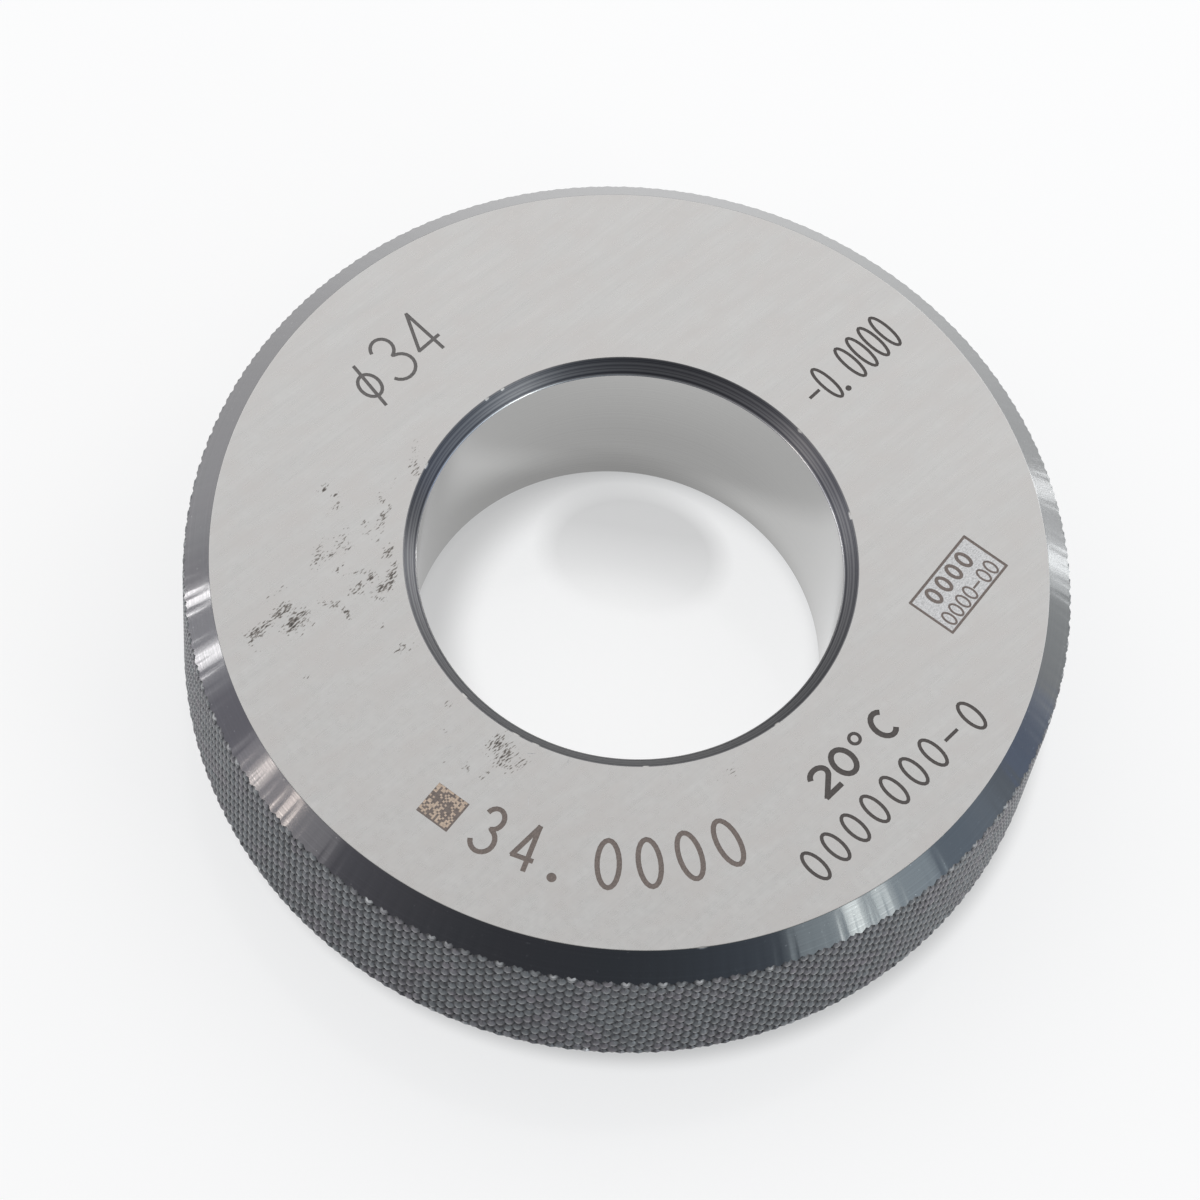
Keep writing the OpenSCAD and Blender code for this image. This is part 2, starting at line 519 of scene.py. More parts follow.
# The whole ring: its section's rows carried round the axis, with the upper face cut to its marks.
def buildRing():
    chance = np.random.default_rng(ring["seed"])
    columns = ring["diamonds"] * ring["steps"]
    angle = 2 * math.pi * np.arange(columns) / columns
    upper, lower = halfSection(angle, chance), halfSection(angle, chance)
    rows = [(radius, middle + away, bare, crisp) for radius, away, bare, crisp, _ in upper]
    rows += [(radius, middle - away, bare, crisp) for radius, away, bare, crisp, _ in lower[:0:-1]]
    strips = [row[4] for row in upper] + [row[4] for row in lower[-2::-1]]
    radius, height, bare = (np.array([row[k] for row in rows]) for k in range(3))
    points = np.stack([radius * np.cos(angle), radius * np.sin(angle), height], 2).reshape(-1, 3)
    numbers = np.arange(len(points)).reshape(len(rows), columns)
    upperStrip = int(np.argmax(height.min(axis=1)))  # the first row that is as high as the face

    groups, slots = [], []
    for k, finish in enumerate(strips):
        if k == upperStrip:
            continue
        a, b = numbers[k], numbers[(k + 1) % len(rows)]
        nextA, nextB = np.roll(a, -1), np.roll(b, -1)
        if finish == "knurl":
            row = k if k < upperStrip else k - len(rows)
            odd = (np.arange(columns) - row) % 2 == 1
            groups.append(np.stack([a, nextA, np.where(odd, nextB, b)], 1))
            groups.append(np.stack([np.where(odd, a, nextA), nextB, b], 1))
            slots += [finishNames.index(finish)] * 2
        else:
            groups.append(np.stack([a, nextA, nextB, b], 1))
            slots.append(finishNames.index(finish))

    outer, inner = numbers[upperStrip], numbers[upperStrip + 1]
    fresh, triangles, faceSlots = upperFace(points[outer, :2], points[inner, :2])
    faceNumbers = np.concatenate([outer, inner, len(points) + np.arange(len(fresh))])
    points = np.vstack([points, np.column_stack([fresh, np.full(len(fresh), ring["width"])])])
    triangles = faceNumbers[triangles]
    used, triangles, walls, owner = sinkMarks(points, triangles, faceSlots > 0, marks["depth"])
    points = np.vstack([points, points[used] - [0, 0, marks["depth"]]])
    groups += [triangles, walls]
    slots += [faceSlots, faceSlots[owner]]

    mesh = makeMesh("gaugeRing", points, groups, slots)
    rowOf = np.full(len(points), len(rows))
    rowOf[:numbers.size] = np.repeat(np.arange(len(rows)), columns)
    markSharp(mesh, rowOf, np.array([row[3] for row in rows] + [False]))
    onFace = points[:, 2] > ring["width"] - 2 * marks["depth"]
    addAttribute(mesh, "stain", np.where(onFace, stainAt(points[:, :2]), 0))
    addAttribute(mesh, "bare", np.concatenate([bare.ravel(), np.zeros(len(points) - bare.size)]))
    piece = bpy.data.objects.new("gaugeRing", mesh)
    bpy.context.collection.objects.link(piece)
    return piece


gaugeRing = buildRing()
print("ring built:", len(gaugeRing.data.polygons), "faces")


# Node helpers

# Adds a node. Its inputs are given by name or number, as values or as other nodes' sockets.
def addNode(tree, kind, inputs=None, **settings):
    node = tree.nodes.new("ShaderNode" + kind)
    for name, value in settings.items():
        setattr(node, name, value)
    for name, value in (inputs or {}).items():
        if isinstance(value, bpy.types.NodeSocket):
            tree.links.new(value, node.inputs[name])
        else:
            node.inputs[name].default_value = value
    return node


def maths(tree, operation, *values, clamp=False):
    inputs = dict(enumerate(values))
    return addNode(tree, "Math", inputs, operation=operation, use_clamp=clamp).outputs[0]


# Maps one range of values on to another and stops at its ends.
def remap(tree, value, fromLow, fromHigh, toLow=0.0, toHigh=1.0):
    inputs = {0: value, 1: fromLow, 2: fromHigh, 3: toLow, 4: toHigh}
    return addNode(tree, "MapRange", inputs).outputs[0]


# Noise lies mostly between 0.3 and 0.7. This spreads it over a range of its own.
def spread(tree, noise, low=0.0, high=1.0):
    return remap(tree, noise, 0.3, 0.7, low, high)


def mixColours(tree, share, first, second):
    inputs = {0: share, 6: first, 7: second}
    return addNode(tree, "Mix", inputs, data_type="RGBA").outputs[2]


def shade(colour, factor=1.0):
    return tuple(channel * factor for channel in colour[:3]) + (1.0,)


def newGroup(name, inputs, outputs):
    group = bpy.data.node_groups.new(name, "ShaderNodeTree")
    for socket in outputs:
        group.interface.new_socket(socket, in_out="OUTPUT", socket_type="NodeSocketFloat")
    for socket, value in inputs.items():
        made = group.interface.new_socket(socket, in_out="INPUT", socket_type="NodeSocketFloat")
        made.default_value = value
    return group, group.nodes.new("NodeGroupInput").outputs, group.nodes.new("NodeGroupOutput").inputs


# Where a point lies on the ring: radius and height in millimetres, and bearing as a share of a turn.
def ringPlaceGroup():
    group, _, out = newGroup("ringPlace", {}, ["Radius", "Height", "Turn"])
    place = addNode(group, "TexCoord").outputs["Object"]
    x, y, z = addNode(group, "SeparateXYZ", {0: place}).outputs
    square = maths(group, "ADD", maths(group, "MULTIPLY", x, x), maths(group, "MULTIPLY", y, y))
    radius = maths(group, "SQRT", square)
    group.links.new(maths(group, "DIVIDE", radius, metre), out["Radius"])
    group.links.new(maths(group, "DIVIDE", z, metre), out["Height"])
    turn = maths(group, "DIVIDE", maths(group, "ARCTAN2", y, x), 2 * math.pi)
    group.links.new(turn, out["Turn"])
    return group


# Noise in cells of the given length and breadth in millimetres, slanted by a number of degrees.
def slantedNoiseGroup():
    start = {"Slant": 0.0, "Along": 1.0, "Across": 1.0}
    group, given, out = newGroup("slantedNoise", start, ["Value"])
    place = addNode(group, "TexCoord").outputs["Object"]
    turn = addNode(group, "CombineXYZ", {2: maths(group, "RADIANS", given["Slant"])}).outputs[0]
    length = maths(group, "MULTIPLY", given["Along"], metre)
    breadth = maths(group, "MULTIPLY", given["Across"], metre)
    size = addNode(group, "CombineXYZ", {0: length, 1: breadth, 2: breadth}).outputs[0]
    inputs = {"Vector": place, "Rotation": turn, "Scale": size}
    cell = addNode(group, "Mapping", inputs, vector_type="TEXTURE").outputs[0]
    noise = addNode(group, "TexNoise", {"Vector": cell, "Scale": 1.0, "Detail": 2.0})
    group.links.new(noise.outputs["Fac"], out["Value"])
    return group


# Lines of a turning tool: noise along one distance only, in lines of the given width.
def toolLinesGroup():
    group, given, out = newGroup("toolLines", {"Distance": 0.0, "Line": 0.1}, ["Value"])
    position = maths(group, "DIVIDE", given["Distance"], given["Line"])
    inputs = {"W": position, "Scale": 1.0, "Detail": 3.0, "Roughness": 0.6}
    noise = addNode(group, "TexNoise", inputs, noise_dimensions="1D")
    group.links.new(noise.outputs["Fac"], out["Value"])
    return group


# Bare steel at dents and worn crests: the mesh's own mask, broken up a little.
def edgeWearGroup():
    group, given, out = newGroup("edgeWear", {"Cell": 0.12}, ["Bare"])
    mask = addNode(group, "Attribute", attribute_name="bare").outputs["Fac"]
    place = addNode(group, "TexCoord").outputs["Object"]
    scale = maths(group, "DIVIDE", 1 / metre, given["Cell"])
    noise = addNode(group, "TexNoise", {"Vector": place, "Scale": scale, "Detail": 1.0}).outputs["Fac"]
    ragged = maths(group, "MULTIPLY", maths(group, "SUBTRACT", noise, 0.5), 0.8)
    broken = remap(group, maths(group, "ADD", mask, ragged), 0.35, 0.7)
    group.links.new(maths(group, "MULTIPLY", broken, mask), out["Bare"])
    return group


# Cells of the knurl: how far a point lies from its crest, where 1 is the crest's oval outline,
# and a random number for each crest. Crests lie where both families of lines are whole numbers.
def knurlCellsGroup():
    group, given, out = newGroup("knurlCells", {"Turn": 0.0, "Height": 0.0}, ["Away", "Lot"])
    turn = maths(group, "MULTIPLY", given["Turn"], ring["diamonds"])
    across = maths(group, "DIVIDE", maths(group, "SUBTRACT", given["Height"], middle), ring["pitch"])
    lines = [maths(group, "ADD", turn, across), maths(group, "SUBTRACT", turn, across)]
    whole = [maths(group, "ROUND", line) for line in lines]
    rising, falling = [maths(group, "SUBTRACT", *pair) for pair in zip(lines, whole)]
    width, height = ring["crestOval"]
    side = maths(group, "DIVIDE", maths(group, "ADD", rising, falling), width)
    upward = maths(group, "DIVIDE", maths(group, "SUBTRACT", rising, falling), height)
    squares = [maths(group, "MULTIPLY", part, part) for part in (side, upward)]
    group.links.new(maths(group, "SQRT", maths(group, "ADD", *squares)), out["Away"])
    number = addNode(group, "CombineXYZ", {0: whole[0], 1: whole[1]}).outputs[0]
    lot = addNode(group, "TexWhiteNoise", {"Vector": number}, noise_dimensions="3D")
    group.links.new(lot.outputs["Value"], out["Lot"])
    return group


ringPlace = ringPlaceGroup()
slantedNoise = slantedNoiseGroup()
toolLines = toolLinesGroup()
edgeWear = edgeWearGroup()
knurlCells = knurlCellsGroup()


def placeOnRing(tree):
    return addNode(tree, "Group", node_tree=ringPlace).outputs


def slanted(tree, slant, along, across):
    inputs = {"Slant": slant, "Along": along, "Across": across}
    return addNode(tree, "Group", inputs, node_tree=slantedNoise).outputs["Value"]


def linesAlong(tree, distance, width):
    inputs = {"Distance": distance, "Line": width}
    return addNode(tree, "Group", inputs, node_tree=toolLines).outputs["Value"]


def bareSteel(tree, cell):
    return addNode(tree, "Group", {"Cell": cell}, node_tree=edgeWear).outputs["Bare"]


def bump(tree, height, micrometres, strength=1.0):
    inputs = {"Height": height, "Distance": micrometres * 1e-6, "Strength": strength}
    return addNode(tree, "Bump", inputs).outputs["Normal"]


# A material with one Principled shader, whose inputs are given, and an optional turned grain.
def newMaterial(name, turned=None):
    material = bpy.data.materials.new(name)
    material.use_nodes = True
    tree = material.node_tree
    tree.nodes.clear()
    shader = addNode(tree, "BsdfPrincipled")
    addNode(tree, "OutputMaterial", {"Surface": shader.outputs[0]})
    if turned:
        shader.inputs["Anisotropic"].default_value = turned
        shader.inputs["Anisotropic Rotation"].default_value = 0.25
        tangent = addNode(tree, "Tangent", direction_type="RADIAL", axis="Z").outputs[0]
        tree.links.new(tangent, shader.inputs["Tangent"])
    return material, tree, shader.inputs


def connect(tree, sockets, **values):
    for name, value in values.items():
        socket = sockets[name.replace("_", " ")]
        if isinstance(value, bpy.types.NodeSocket):
            tree.links.new(value, socket)
        else:
            socket.default_value = value


# Finishes

faceFinish = {
    "steel": (0.655, 0.649, 0.640),
    "warm": (0.645, 0.625, 0.612),
    "tones": (0.92, 1.08),  # darkest and lightest grinding line, times the steel
    "grindSlant": 52.0,  # degrees from the x axis
    "fineLine": (4.0, 0.07),  # length and breadth
    "broadLine": (12.0, 0.9),
    "mottle": 0.7,
    "cloud": (3.2, 1.8),
    "warmShare": 0.8,
    "roughness": (0.25, 0.34),
    "stainDark": (0.085, 0.076, 0.070),
    "stainLight": (0.29, 0.265, 0.24),
    "stainSpread": 0.33,
    "dashSlant": 54.0,
    "dash": (0.46, 0.13),  # length and breadth of one fleck
}


def makeFace():
    material, tree, sockets = newMaterial("groundFace")
    slant, size = faceFinish["grindSlant"], faceFinish["mottle"]
    fine = slanted(tree, slant, *faceFinish["fineLine"])
    broad = slanted(tree, slant - 5, *faceFinish["broadLine"])
    mottle, cloud = slanted(tree, 0, size, size), slanted(tree, 40, *faceFinish["cloud"])
    shares = maths(tree, "MULTIPLY", fine, 0.55), maths(tree, "MULTIPLY", broad, 0.45)
    grain = maths(tree, "ADD", *shares)
    blotch = remap(tree, mottle, 0.25, 0.75, 0.0, 0.4)
    tone = maths(tree, "ADD", maths(tree, "MULTIPLY", spread(tree, grain), 0.6), blotch)
    dull, bright = (shade(faceFinish["steel"], factor) for factor in faceFinish["tones"])
    steel = mixColours(tree, tone, dull, bright)
    warmth = remap(tree, cloud, 0.35, 0.7, 0.0, faceFinish["warmShare"])
    steel = mixColours(tree, warmth, steel, shade(faceFinish["warm"]))
    stain = addNode(tree, "Attribute", attribute_name="stain").outputs["Fac"]
    length, breadth = faceFinish["dash"]
    fleck = slanted(tree, faceFinish["dashSlant"], length, breadth)
    density = maths(tree, "ADD", fleck, maths(tree, "MULTIPLY", stain, faceFinish["stainSpread"]))
    near = remap(tree, stain, 0.0, 0.08)
    mask = maths(tree, "MULTIPLY", remap(tree, density, 0.77, 0.85), near)
    light, dark = shade(faceFinish["stainLight"]), shade(faceFinish["stainDark"])
    brown = mixColours(tree, remap(tree, density, 0.84, 1.0), light, dark)
    rough = spread(tree, mottle, *faceFinish["roughness"])
    connect(
        tree, sockets,
        Base_Color=mixColours(tree, mask, steel, brown),
        Metallic=maths(tree, "SUBTRACT", 1.0, maths(tree, "MULTIPLY", mask, 0.85)),
        Roughness=maths(tree, "ADD", rough, maths(tree, "MULTIPLY", mask, 0.25)),
        Normal=bump(tree, grain, 4.0),
    )
    return material


oxideFinish = {
    "violet": (0.137, 0.134, 0.141),
    "teal": (0.128, 0.136, 0.139),
    "tintReach": 24.0,  # the tint changes over this distance to each side of the middle
    "bareSteel": (0.62, 0.61, 0.59),
    "cloud": 7.0,  # size of the tint's clouds
    "dustGrain": 0.24,
    "dust": 0.35,  # how bright the dust is
    "bareCell": 0.12,
    "roughness": 0.13,
    "turned": 0.5,
    "lineWidth": 0.11,
    "wave": (1.6, 1.2),  # length and breadth of the slight waves in the surface
    "relief": (0.3, 0.05),  # shares of the lines and of the waves
}


def makeRimChamfer():
    material, tree, sockets = newMaterial("blackenedChamfer", oxideFinish["turned"])
    place = placeOnRing(tree)
    lines = linesAlong(tree, place["Radius"], oxideFinish["lineWidth"])
    size, grain = oxideFinish["cloud"], oxideFinish["dustGrain"]
    cloud, speck = slanted(tree, 0, size, size), slanted(tree, 0, grain, grain)
    wave = slanted(tree, 0, *oxideFinish["wave"])
    where = addNode(tree, "TexCoord").outputs["Object"]
    across = addNode(tree, "SeparateXYZ", {0: where}).outputs[0]
    reach = oxideFinish["tintReach"] * metre
    side = maths(tree, "ADD", remap(tree, across, -reach, reach), spread(tree, cloud, -0.25, 0.25))
    black = mixColours(tree, side, shade(oxideFinish["violet"]), shade(oxideFinish["teal"]))
    dust = remap(tree, speck, 0.72, 0.76, 0.0, oxideFinish["dust"])
    bare = maths(tree, "MAXIMUM", bareSteel(tree, oxideFinish["bareCell"]), dust)
    darker = mixColours(tree, side, shade(oxideFinish["violet"], 0.8), shade(oxideFinish["teal"], 0.8))
    tone = mixColours(tree, spread(tree, lines), black, darker)
    shares = zip((lines, wave), oxideFinish["relief"])
    relief = maths(tree, "ADD", *[maths(tree, "MULTIPLY", *pair) for pair in shares])
    rough = oxideFinish["roughness"]
    connect(
        tree, sockets,
        Base_Color=mixColours(tree, bare, tone, shade(oxideFinish["bareSteel"])),
        Metallic=1.0,
        Roughness=spread(tree, lines, rough - 0.03, rough + 0.04),
        Coat_Weight=1.0,
        Coat_Roughness=0.12,
        Normal=bump(tree, relief, 3.5),
    )
    return material


knurlFinish = {
    # the grooves' near-black: partly the oxide in them, partly painted shade in the recesses
    "valley": (0.016, 0.017, 0.020),
    "crest": [(0.138, 0.150, 0.160), (0.146, 0.139, 0.156)],  # teal and violet
    "worn": (0.62, 0.63, 0.64),
    "wornFrom": 0.2,  # crests are worn this close to the chamfer
    "sizes": (0.5, 0.16, 2.6),  # of ragged crest edges, of specks and of patches of one tint
    "lint": 0.6,  # how bright the lint is
    "roughness": 0.32,
}


def makeKnurl():
    material, tree, sockets = newMaterial("blackenedKnurl")
    place = placeOnRing(tree)
    inputs = {"Turn": place["Turn"], "Height": place["Height"]}
    cell = addNode(tree, "Group", inputs, node_tree=knurlCells).outputs
    cloud, speck, patch = (slanted(tree, 0, size, size) for size in knurlFinish["sizes"])
    ragged = maths(tree, "ADD", cell["Away"], remap(tree, cloud, 0.25, 0.75, -0.3, 0.3))
    crest = remap(tree, ragged, 0.7, 1.3, 1.0, 0.0)
    teal, violet = (shade(colour) for colour in knurlFinish["crest"])
    top = mixColours(tree, remap(tree, patch, 0.45, 0.65), teal, violet)
    dim = mixColours(tree, 0.3, top, shade(knurlFinish["valley"]))
    top = mixColours(tree, cell["Lot"], dim, top)
    # Crest colour fades into the grooves' near-black, which is partly oxide and partly painted shade.
    tone = mixColours(tree, crest, shade(knurlFinish["valley"]), top)
    fromMiddle = maths(tree, "ABSOLUTE", maths(tree, "SUBTRACT", place["Height"], middle))
    edge, strip = middle - ring["rimChamfer"], knurlFinish["wornFrom"]
    nearEdge = remap(tree, fromMiddle, edge - strip, edge - strip / 2)
    chosen = remap(tree, cell["Lot"], 0.0, wear["bareCrests"], wear["barest"], 0.0)
    worn = maths(tree, "MULTIPLY", maths(tree, "MULTIPLY", nearEdge, chosen), crest)
    lint = remap(tree, speck, 0.74, 0.79, 0.0, knurlFinish["lint"])
    bare = maths(tree, "MAXIMUM", worn, lint)
    rough = knurlFinish["roughness"]
    connect(
        tree, sockets,
        Base_Color=mixColours(tree, bare, tone, shade(knurlFinish["worn"])),
        Metallic=1.0,
        Roughness=spread(tree, speck, rough - 0.06, rough + 0.08),
        Coat_Weight=0.6,
        Coat_Roughness=0.22,
        Normal=bump(tree, speck, 6.0),
    )
    return material


mouthFinish = {
    "dark": (0.066, 0.068, 0.078),
    "light": (0.205, 0.205, 0.213),
    "bareSteel": (0.62, 0.61, 0.59),
    "contrast": (0.41, 0.59),  # the lines' noise from which they are dark and light
    "bareCell": 0.12,
    "roughness": 0.33,
    "turned": 0.6,
    "lineWidth": 0.13,
}


def makeMouth():
    material, tree, sockets = newMaterial("turnedMouth", mouthFinish["turned"])
    place = placeOnRing(tree)
    lines = linesAlong(tree, place["Radius"], mouthFinish["lineWidth"])
    bare = bareSteel(tree, mouthFinish["bareCell"])
    share = remap(tree, lines, *mouthFinish["contrast"])
    tone = mixColours(tree, share, shade(mouthFinish["dark"]), shade(mouthFinish["light"]))
    rough = mouthFinish["roughness"]
    connect(
        tree, sockets,
        Base_Color=mixColours(tree, bare, tone, shade(mouthFinish["bareSteel"])),
        Metallic=1.0,
        Roughness=spread(tree, lines, rough, rough + 0.08),
        Coat_Weight=0.6,
        Coat_Roughness=0.3,
        Normal=bump(tree, lines, 2.5),
    )
    return material


boreFinish = {
    "steel": (0.51, 0.506, 0.498),
    "lip": (0.62, 0.62, 0.62),
    "roughness": 0.1,
    "turned": 0.35,
    "lineWidth": 0.16,
    "lipLine": 0.03,
}


def makeBore():
    material, tree, sockets = newMaterial("lappedBore", boreFinish["turned"])
    place = placeOnRing(tree)
    lines = linesAlong(tree, place["Height"], boreFinish["lineWidth"])
    rough = boreFinish["roughness"]
    low, high = shade(boreFinish["steel"], 0.96), shade(boreFinish["steel"], 1.03)
    connect(
        tree, sockets,
        Base_Color=mixColours(tree, spread(tree, lines), low, high),
        Metallic=1.0,
        Roughness=spread(tree, lines, rough - 0.02, rough + 0.03),
        Normal=bump(tree, lines, 0.4),
    )
    return material


def makeLip():
    material, tree, sockets = newMaterial("brightLip", boreFinish["turned"])
    place = placeOnRing(tree)
    lines = linesAlong(tree, place["Height"], boreFinish["lipLine"])
    low, high = shade(boreFinish["lip"], 0.9), shade(boreFinish["lip"], 1.05)
    connect(
        tree, sockets,
        Base_Color=mixColours(tree, spread(tree, lines), low, high),
        Metallic=1.0,
        Roughness=0.22,
    )
    return material


laserFinishes = {
    "laserClean": {"colour": (0.67, 0.67, 0.675), "metallic": 0.9, "roughness": 0.42},
    "laserPale": {"colour": (0.17, 0.16, 0.155), "metallic": 0.3, "roughness": 0.5},
    "laserTan": {"colour": (0.60, 0.48, 0.38), "metallic": 0.5, "roughness": 0.5},
    "laserBrown": {"colour": (0.215, 0.178, 0.160), "metallic": 0.3, "roughness": 0.5},
    "laserGrey": {"colour": (0.104, 0.092, 0.087), "metallic": 0.3, "roughness": 0.5},
}
laserGrain = {"slant": 52, "length": 0.18, "breadth": 0.1, "tones": (0.8, 1.25)}


def makeLaser(name, colour, metallic, roughness):
    material, tree, sockets = newMaterial(name)
    fleck = slanted(tree, laserGrain["slant"], laserGrain["length"], laserGrain["breadth"])
    dark, light = (shade(colour, factor) for factor in laserGrain["tones"])
    tone = mixColours(tree, spread(tree, fleck), dark, light)
    connect(
        tree, sockets,
        Base_Color=tone,
        Metallic=metallic,
        Roughness=spread(tree, fleck, roughness - 0.05, roughness + 0.08),
        Normal=bump(tree, fleck, 4.0),
    )
    return material


finishes = {
    "face": makeFace(),
    "rimChamfer": makeRimChamfer(),
    "knurl": makeKnurl(),
    "mouth": makeMouth(),
    "lip": makeLip(),
    "bore": makeBore(),
}
for laserName, laserLook in laserFinishes.items():
    finishes[laserName] = makeLaser(laserName, **laserLook)
for finishName in finishNames:
    gaugeRing.data.materials.append(finishes[finishName])
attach(gaugeRing, "root")
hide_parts("gauge_ring")
print("finishes made:", len(finishes))


# Studio: a pale floor, a white room that is darker at the front, and narrow light panels

studio = {
    "floorRadius": 1.6,  # metres
    "floorMesh": (3, 96),  # rings and spokes
    "floorSeen": (0.34, 0.33, 0.32),  # the floor's own colour where the camera or metal sees it
    "floorGlow": (0.698, 0.705, 0.712),  # and the white added there
    "boreGlow": 1.06,  # times the white inside the bore, which throws light on to the floor
    # a dim oval in it: its rim is soft between two shares of its size, and it fades towards -y
    "boreShade": {"middle": (0.2, 9.9), "size": (7.8, 6.1), "strength": 0.70},
    "shadeRim": (0.82, 1.1),
    "shadeFade": (-1.0, 0.4),
    # shade on the floor beside the bore's wall, as the camera sees it and as the wall mirrors it
    "foot": {"middle": (2.2, 1.3), "reach": (13.2, 17.8), "strength": 0.58},
    "mirroredFoot": {"middle": (1.6, -0.9), "reach": (15.0, 17.6), "strength": 0.55},
    "skirt": {"middle": (1.0, -0.5), "reach": (35.9, 33.7), "strength": 0.63},  # and round the rim
    "floorBounce": 0.8,
    "floorRoughness": 0.14,
    "darkToward": (0.0, -0.94, 0.34),
    "darkSteps": [
        # cosine of the angle to the dark middle, from and to, and the strength it falls to
        (-0.20, 0.26, 0.84), (0.26, 0.985, 0.25),
    ],
    # the dark side's tint, from and to as in darkSteps, between two heights, and its two colours
    "tint": {"from": -0.6, "to": 0.2, "left": (0.90, 0.90, 1.0), "right": (0.73, 0.85, 1.02)},
    "tintHeights": (0.75, 0.35),
    "tintSides": (-0.5, 0.5),  # where left ends and right begins, as a share of the sky's width
    "zenith": (0.86, 0.97, 0.6),  # height in the sky, from and to, and the strength it falls to
    "dimPatches": [
        # bearing, elevation and reach in degrees of the room's dimmer parts, and their strength
        (72, 3, 22, 0.5), (-68, -2, 10, 0.85), (-100, 8, 11, 0.90),
    ],
    "patchCore": 0.4,  # share of a patch's reach that is as dim as its middle
    "panelDistance": 1.2,  # metres
    "panels": [
        # bearing from +y towards +x, width and lowest and highest elevation, strength, colour
        (-80.6, 1.5, 0, 10, 8.4, (1, 0.985, 0.96)), (-90.3, 2.2, 0, 14, 6.5, (1, 0.985, 0.96)),
        (-86, 5, 0, 14, 0.3, (1, 1, 1)), (-94, 5, 0, 16, 0.25, (1, 1, 1)),
        (-112.6, 1.7, 5, 20, 5.2, (1, 0.91, 0.81)), (-120.2, 1.7, 7, 23, 5.6, (1, 0.88, 0.77)),
        (-119, 25, 3, 25, 0.5, (1, 0.98, 0.96)), (80, 14, 0, 20, 0.22, (0.1, 0.3, 1)),
        (53.6, 2.8, 2, 20, 5.6, (1, 1, 1)), (43.8, 3.0, 5, 23, 6.8, (1, 1, 1)),
        (38, 40, 0, 12, 2.4, (1, 1, 1)), (124.3, 3.0, 0, 30, 4.0, (1, 1, 0.95)),
        (118.6, 3.0, 0, 30, 2.4, (1, 1, 0.95)), (122, 30, 0, 30, 0.8, (0.9, 0.98, 1)),
    ],
}


def makeFloor():
    mesh = bpy.data.meshes.new("floor")
    rings, spokes = studio["floorMesh"]
    angle = 2 * math.pi * np.arange(spokes) / spokes
    radii = studio["floorRadius"] * np.arange(1, rings + 1) / rings
    x, y = np.outer(radii, np.cos(angle)), np.outer(radii, np.sin(angle))
    points = np.stack([x, y, 0 * x], 2).reshape(-1, 3)
    numbers = np.arange(len(points)).reshape(rings, spokes)
    faces = [list(map(int, numbers[0]))]
    for k in range(rings - 1):
        a, b = numbers[k], numbers[k + 1]
        faces += np.stack([a, b, np.roll(b, -1), np.roll(a, -1)], 1).tolist()
    mesh.from_pydata(points.tolist(), [], faces)
    floor = bpy.data.objects.new("floor", mesh)
    bpy.context.collection.objects.link(floor)
    mesh.materials.append(makeFloorMaterial())


# A soft ring of shade on the floor: 1 at the first distance from its middle, and its strength at
# the second.
def shadeRing(tree, place, middle, reach, strength):
    centre = [value * metre for value in middle] + [0]
    away = addNode(tree, "VectorMath", {0: place, 1: centre}, operation="DISTANCE").outputs["Value"]
    inputs = {0: away, 1: reach[0] * metre, 2: reach[1] * metre, 3: 1.0, 4: strength}
    return addNode(tree, "MapRange", inputs, interpolation_type="SMOOTHSTEP").outputs[0]


# How bright the floor's added white is: 1 in the open, dimmer close to the ring, and inside the
# bore brighter, with an oval that is dim at its far end.
def floorLight(tree):
    place = addNode(tree, "TexCoord").outputs["Object"]
    radius = placeOnRing(tree)["Radius"]
    dimOval = studio["boreShade"]
    inputs = {
        "Vector": place,
        "Location": [value * metre for value in dimOval["middle"]] + [0],
        "Scale": [value * metre for value in dimOval["size"]] + [1],
    }
    local = addNode(tree, "Mapping", inputs, vector_type="TEXTURE").outputs[0]
    away = addNode(tree, "VectorMath", {0: local}, operation="LENGTH").outputs["Value"]
    along = addNode(tree, "SeparateXYZ", {0: local}).outputs[1]
    deep = remap(tree, along, *studio["shadeFade"])
    dim = remap(tree, away, *studio["shadeRim"], 1.0 - dimOval["strength"], 0.0)
    dim = maths(tree, "MULTIPLY", dim, deep)
    lit = maths(tree, "MULTIPLY", maths(tree, "SUBTRACT", 1.0, dim), studio["boreGlow"])
    camera = addNode(tree, "LightPath").outputs["Is Camera Ray"]
    seen, mirrored = (shadeRing(tree, place, **studio[name]) for name in ("foot", "mirroredFoot"))
    foot = addNode(tree, "Mix", {0: camera, 2: mirrored, 3: seen}, data_type="FLOAT").outputs[0]
    lit = maths(tree, "MULTIPLY", lit, foot)
    inside = remap(tree, radius, faceInner - 0.3, faceInner, 1.0, 0.0)
    beside = shadeRing(tree, place, **studio["skirt"])
    share = maths(tree, "MULTIPLY", inside, maths(tree, "SUBTRACT", lit, beside))
    return maths(tree, "ADD", beside, share)


def makeFloorMaterial():
    material, tree, sockets = newMaterial("palePaper")
    connect(tree, sockets, Base_Color=shade(studio["floorSeen"]), Roughness=studio["floorRoughness"])
    shader = sockets["Base Color"].node
    output = next(node for node in tree.nodes if node.type == "OUTPUT_MATERIAL")
    inputs = {"Color": shade(studio["floorGlow"]), "Strength": floorLight(tree)}
    glow = addNode(tree, "Emission", inputs).outputs[0]
    pale = addNode(tree, "AddShader", {0: shader.outputs[0], 1: glow}).outputs[0]
    bounce = studio["floorBounce"]
    plain = addNode(tree, "BsdfDiffuse", {"Color": (bounce, bounce, bounce, 1)}).outputs[0]
    path = addNode(tree, "LightPath").outputs
    looked = maths(tree, "MAXIMUM", path["Is Camera Ray"], path["Is Glossy Ray"])
    looked = maths(tree, "MAXIMUM", looked, path["Is Transmission Ray"])
    mixed = addNode(tree, "MixShader", {0: looked, 1: plain, 2: pale}).outputs[0]
    tree.links.new(mixed, output.inputs["Surface"])
    return material


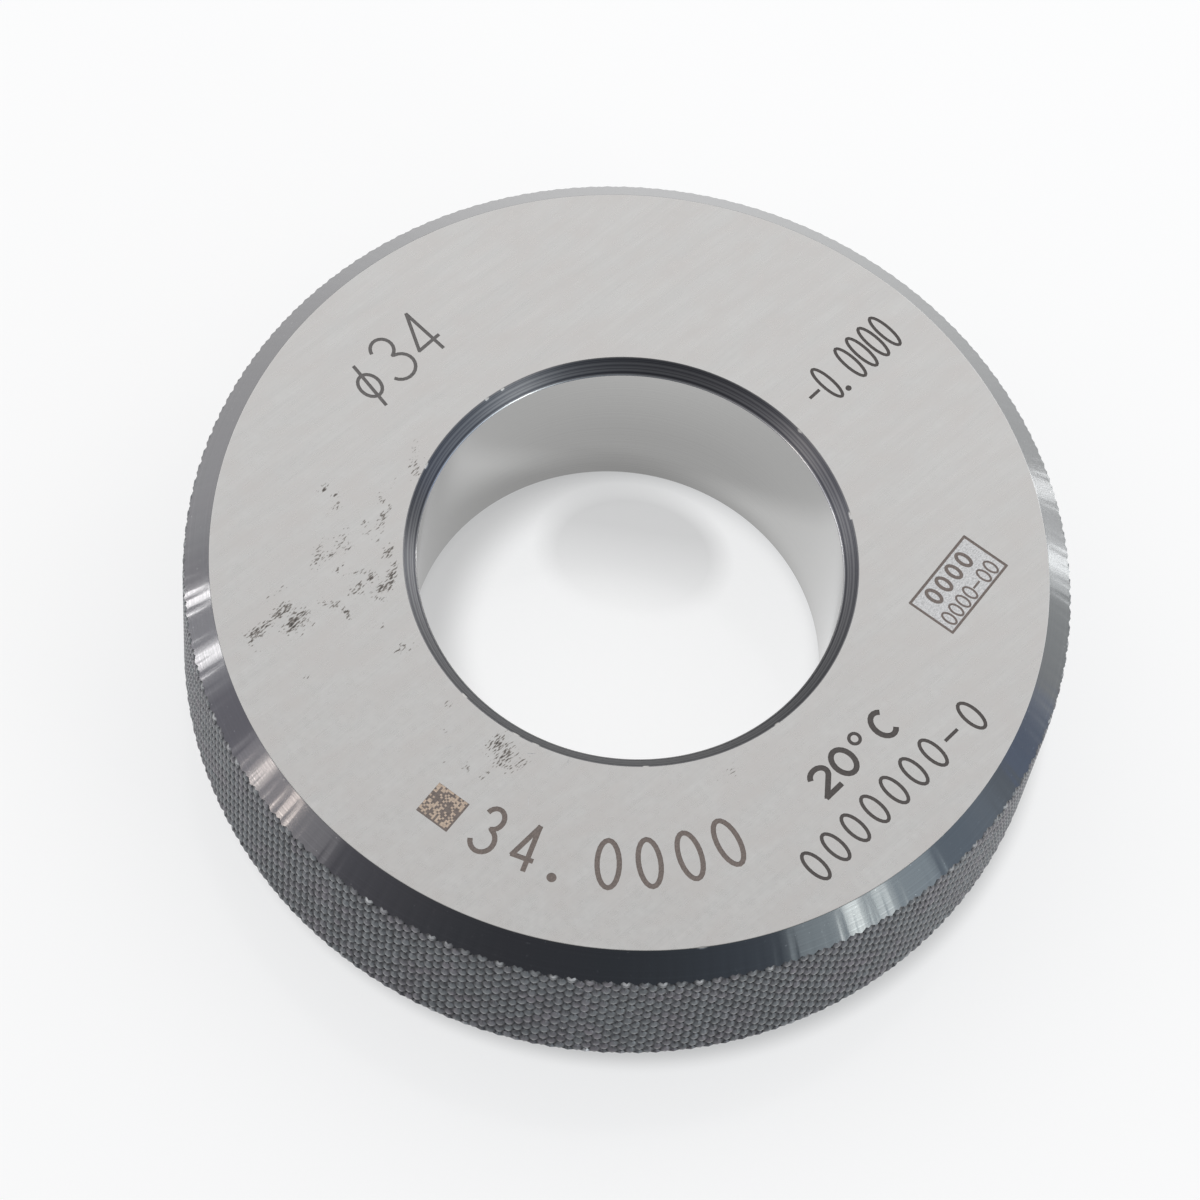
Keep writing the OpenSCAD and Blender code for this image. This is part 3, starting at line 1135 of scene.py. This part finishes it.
def makeWorld():
    world = bpy.data.worlds.new("whiteRoom")
    world.use_nodes = True
    tree = world.node_tree
    tree.nodes.clear()
    bearing = addNode(tree, "TexCoord").outputs["Generated"]
    inputs = {0: bearing, 1: studio["darkToward"]}
    toward = addNode(tree, "VectorMath", inputs, operation="DOT_PRODUCT").outputs["Value"]
    steps = [(toward, *step) for step in studio["darkSteps"]]
    height = addNode(tree, "SeparateXYZ", {0: bearing}).outputs[2]
    strength = 1.0
    for measure, start, end, falls in steps + [(height, *studio["zenith"])]:
        strength = maths(tree, "MULTIPLY", strength, remap(tree, measure, start, end, 1.0, falls))
    for turn, lift, reach, dim in studio["dimPatches"]:
        turn, lift, reach = math.radians(turn), math.radians(lift), math.radians(reach)
        flat = math.cos(lift)
        inputs = {0: bearing, 1: (math.sin(turn) * flat, math.cos(turn) * flat, math.sin(lift))}
        near = addNode(tree, "VectorMath", inputs, operation="DOT_PRODUCT").outputs["Value"]
        core = reach * studio["patchCore"]
        share = remap(tree, near, math.cos(reach), math.cos(core), 1.0, dim)
        strength = maths(tree, "MULTIPLY", strength, share)
    camera = addNode(tree, "LightPath").outputs["Is Camera Ray"]
    strength = maths(tree, "MAXIMUM", strength, camera)
    tint = studio["tint"]
    across = addNode(tree, "SeparateXYZ", {0: bearing}).outputs[0]
    side = remap(tree, across, *studio["tintSides"])
    cool = mixColours(tree, side, shade(tint["left"]), shade(tint["right"]))
    low = remap(tree, height, *studio["tintHeights"])
    share = maths(tree, "MULTIPLY", remap(tree, toward, tint["from"], tint["to"]), low)
    share = maths(tree, "SUBTRACT", share, camera, clamp=True)
    colour = mixColours(tree, share, (1, 1, 1, 1), cool)
    background = addNode(tree, "Background", {"Color": colour, "Strength": strength}).outputs[0]
    addNode(tree, "OutputWorld", {"Surface": background})
    bpy.context.scene.world = world


# Upright light panels round the ring, which face it. A panel's power is its strength times its
# area times pi.
def makePanels():
    distance = studio["panelDistance"]
    for k, (bearing, width, low, high, strength, colour) in enumerate(studio["panels"]):
        bottom, top = (distance * math.tan(math.radians(angle)) for angle in (low, high))
        light = bpy.data.lights.new("panel", "AREA")
        light.shape = "RECTANGLE"
        light.size = 2 * distance * math.tan(math.radians(width / 2))
        light.size_y = top - bottom
        light.energy = strength * math.pi * light.size * light.size_y
        light.color = colour
        lamp = bpy.data.objects.new(f"panel{k}", light)
        turn = math.radians(bearing)
        lamp.location = (distance * math.sin(turn), distance * math.cos(turn), (bottom + top) / 2)
        lamp.rotation_euler = (math.radians(90), 0, math.pi - turn)
        lamp.visible_camera = False
        bpy.context.collection.objects.link(lamp)


makeFloor()
makeWorld()
makePanels()
bpy.context.scene.view_settings.view_transform = "Standard"
print("studio ready")
